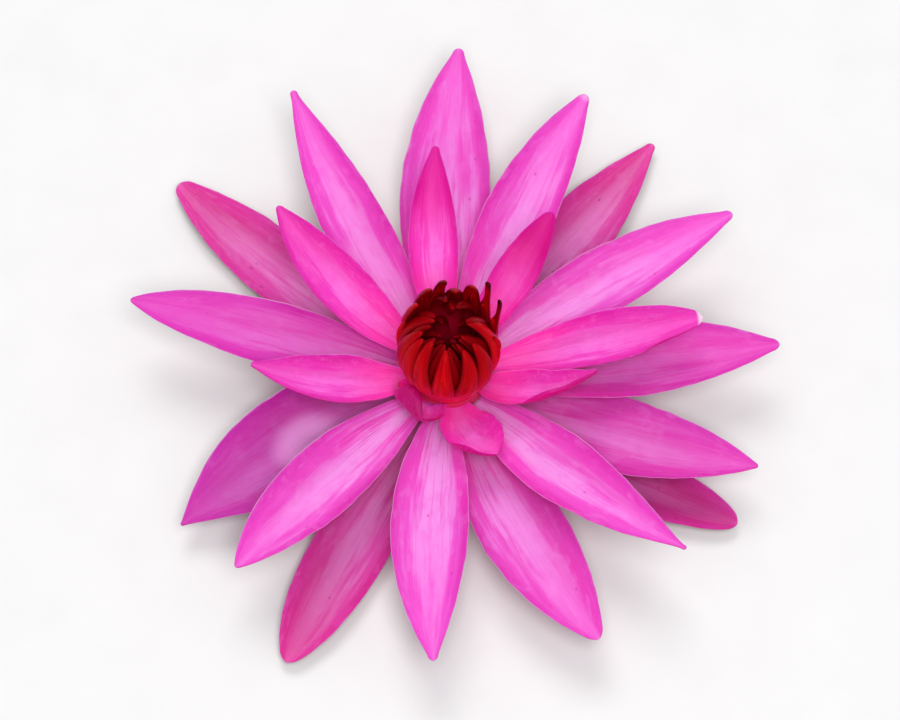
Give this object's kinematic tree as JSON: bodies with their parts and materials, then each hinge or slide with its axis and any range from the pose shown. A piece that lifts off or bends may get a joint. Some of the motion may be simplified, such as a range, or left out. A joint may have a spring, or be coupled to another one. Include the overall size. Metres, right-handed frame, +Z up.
{
  "type": "water lily flower",
  "caption": "Open tropical water lily flower head, cut under its receptacle, with spreading sepals, layered pointed petals and a barrel of strap stamens.",
  "frame": {"origin": "centre of the flat cut at the end of the stalk, on the surface that the flower head rests on", "axes": "+Z up along the flower's own axis, out of the middle of the bloom; +X to the right and -Y towards the viewer of the source view"},
  "size_m": [0.163, 0.1691, 0.0459],
  "materials": {
    "sepal": "satin, rose red with darker tips",
    "petal_outer": "soft satin, translucent, lilac pink with magenta margins",
    "petal_middle": "soft satin, translucent, pink with magenta margins",
    "petal_inner": "soft satin, translucent, deep magenta pink",
    "stamens": "satin, deep red with near-black tips",
    "stigma": "satin, dark red",
    "receptacle": "satin, reddish green with a pale cut face"
  },
  "bodies": {
    "root": {"receptacle": "receptacle", "sepal_1": "sepal", "sepal_2": "sepal", "sepal_3": "sepal", "sepal_4": "sepal", "petal_01": "petal_outer", "petal_02": "petal_outer", "petal_03": "petal_outer", "petal_04": "petal_outer", "petal_05": "petal_outer", "petal_06": "petal_middle", "petal_07": "petal_middle", "petal_08": "petal_middle", "petal_09": "petal_middle", "petal_10": "petal_middle", "petal_11": "petal_middle", "petal_12": "petal_middle", "petal_13": "petal_inner", "petal_14": "petal_inner", "petal_15": "petal_inner", "petal_16": "petal_inner", "petal_17": "petal_inner", "petal_18": "petal_inner", "petal_19": "petal_inner", "petal_20": "petal_inner", "stamens": "stamens", "stigma": "stigma"}
  },
  "joints": []
}
